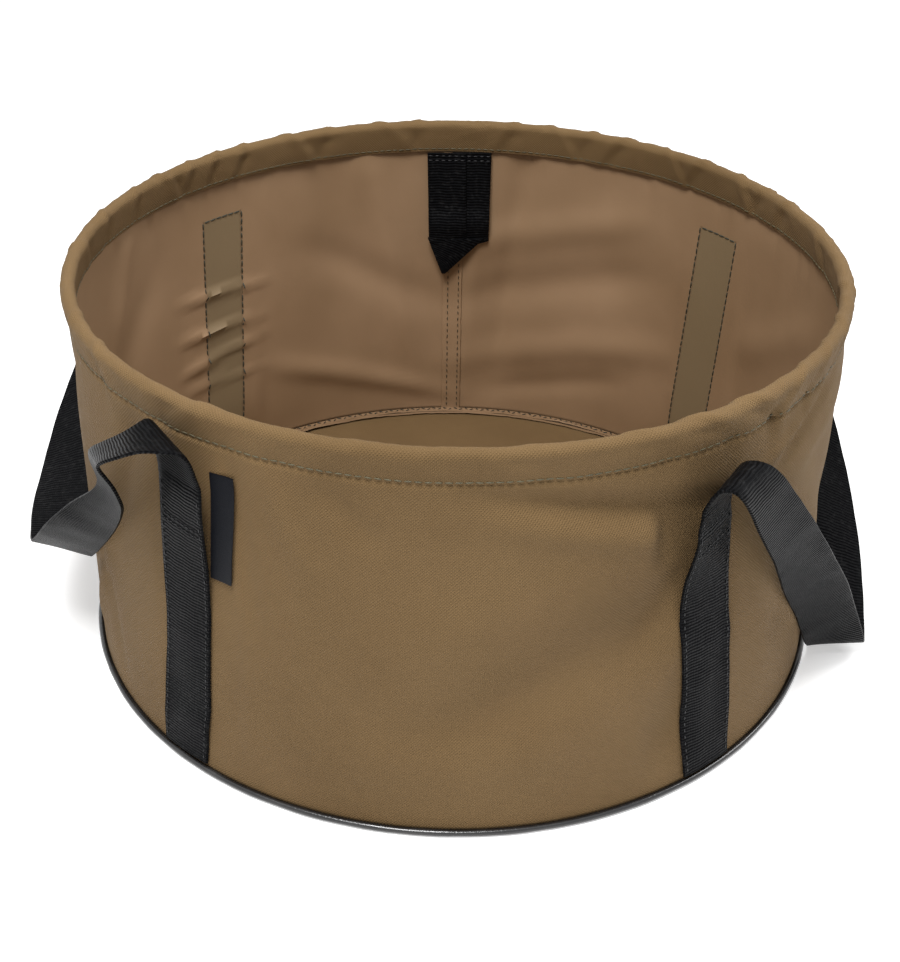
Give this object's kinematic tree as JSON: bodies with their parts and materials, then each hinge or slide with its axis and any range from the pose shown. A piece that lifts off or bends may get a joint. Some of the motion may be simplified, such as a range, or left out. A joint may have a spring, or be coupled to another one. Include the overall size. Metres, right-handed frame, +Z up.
{
  "type": "collapsible bucket",
  "caption": "Round collapsible fabric bucket with a hooped rim, piped base, two webbing carrying loops and a pull loop inside the rim.",
  "frame": {"origin": "centre of the base on the surface the bucket stands on", "axes": "+Z up; +X towards the carrying loop on the viewer's right; +Y towards the back seam and the pull loop; the front is -Y"},
  "size_m": [0.4725, 0.4176, 0.216],
  "materials": {
    "cloth": "coated canvas, olive brown outside and smooth tan inside",
    "webbing": "black woven webbing",
    "piping": "glossy black vinyl",
    "cord": "plain twisted cord",
    "steel": "drawn spring wire",
    "label": "plain black woven tape"
  },
  "bodies": {
    "base": {"base_panel": "cloth", "base_welt": "piping", "welt_cord": "cord", "base_seam": "cloth", "wall": "cloth", "back_seam": "cloth", "strap_front_right": "webbing", "strap_back_right": "webbing", "strap_back_left": "webbing", "strap_front_left": "webbing", "side_label": "label"},
    "rim": {"rim_hem": "cloth", "rim_hoop": "steel", "hoop_ferrule": "steel"},
    "anchors": {"anchor_front_right": "webbing", "anchor_back_right": "webbing", "anchor_back_left": "webbing", "anchor_front_left": "webbing"},
    "right_root": {"right_bend_front": "webbing", "right_bend_back": "webbing"},
    "right_handle": {"right_loop": "webbing"},
    "left_root": {"left_bend_front": "webbing", "left_bend_back": "webbing"},
    "left_handle": {"left_loop": "webbing"},
    "pull_top": {"pull_root": "webbing"},
    "pull": {"pull_loop": "webbing"}
  },
  "joints": [
    {"name": "collapse", "type": "slide", "parent": "base", "child": "rim", "axis": [0, 0, -1], "range_m": [0, 0.155], "deforming": ["wall", "back_seam", "strap_front_right", "strap_back_right", "strap_back_left", "strap_front_left", "side_label"]},
    {"name": "anchors_drop", "type": "slide", "parent": "base", "child": "anchors", "axis": [0, 0, -1], "range_m": [0, 0.1365]},
    {"name": "right_lift", "type": "hinge", "parent": "anchors", "child": "right_root", "pos_m": [0.13827, -0.01698, 0.176], "axis": [-0.1219, -0.9925, 0], "range_deg": [0, 62.1], "deforming": ["right_bend_front", "right_bend_back"]},
    {"name": "right_swing", "type": "hinge", "parent": "right_root", "child": "right_handle", "pos_m": [0.13827, -0.01698, 0.176], "axis": [-0.1219, -0.9925, 0], "range_deg": [0, 132]},
    {"name": "left_lift", "type": "hinge", "parent": "anchors", "child": "left_root", "pos_m": [-0.13819, -0.01148, 0.176], "axis": [-0.0828, 0.9966, 0], "range_deg": [0, 62.1], "deforming": ["left_bend_front", "left_bend_back"]},
    {"name": "left_swing", "type": "hinge", "parent": "left_root", "child": "left_handle", "pos_m": [-0.13819, -0.01148, 0.176], "axis": [-0.0828, 0.9966, 0], "range_deg": [0, 132]},
    {"name": "pull_lift", "type": "hinge", "parent": "rim", "child": "pull_top", "pos_m": [0, 0.19532, 0.1952], "axis": [-1, 0, 0], "range_deg": [0, 66.1], "deforming": ["pull_root"]},
    {"name": "pull_swing", "type": "hinge", "parent": "pull_top", "child": "pull", "pos_m": [0, 0.19532, 0.1952], "axis": [-1, 0, 0], "range_deg": [0, 60]}
  ],
  "couplings": [
    {"joint": "anchors_drop", "follows": "collapse", "ratio": 0.88},
    {"joint": "right_lift", "follows": "collapse", "rad_per_m": 6.9813},
    {"joint": "left_lift", "follows": "collapse", "rad_per_m": 6.9813},
    {"joint": "pull_lift", "follows": "collapse", "rad_per_m": 7.4317}
  ]
}
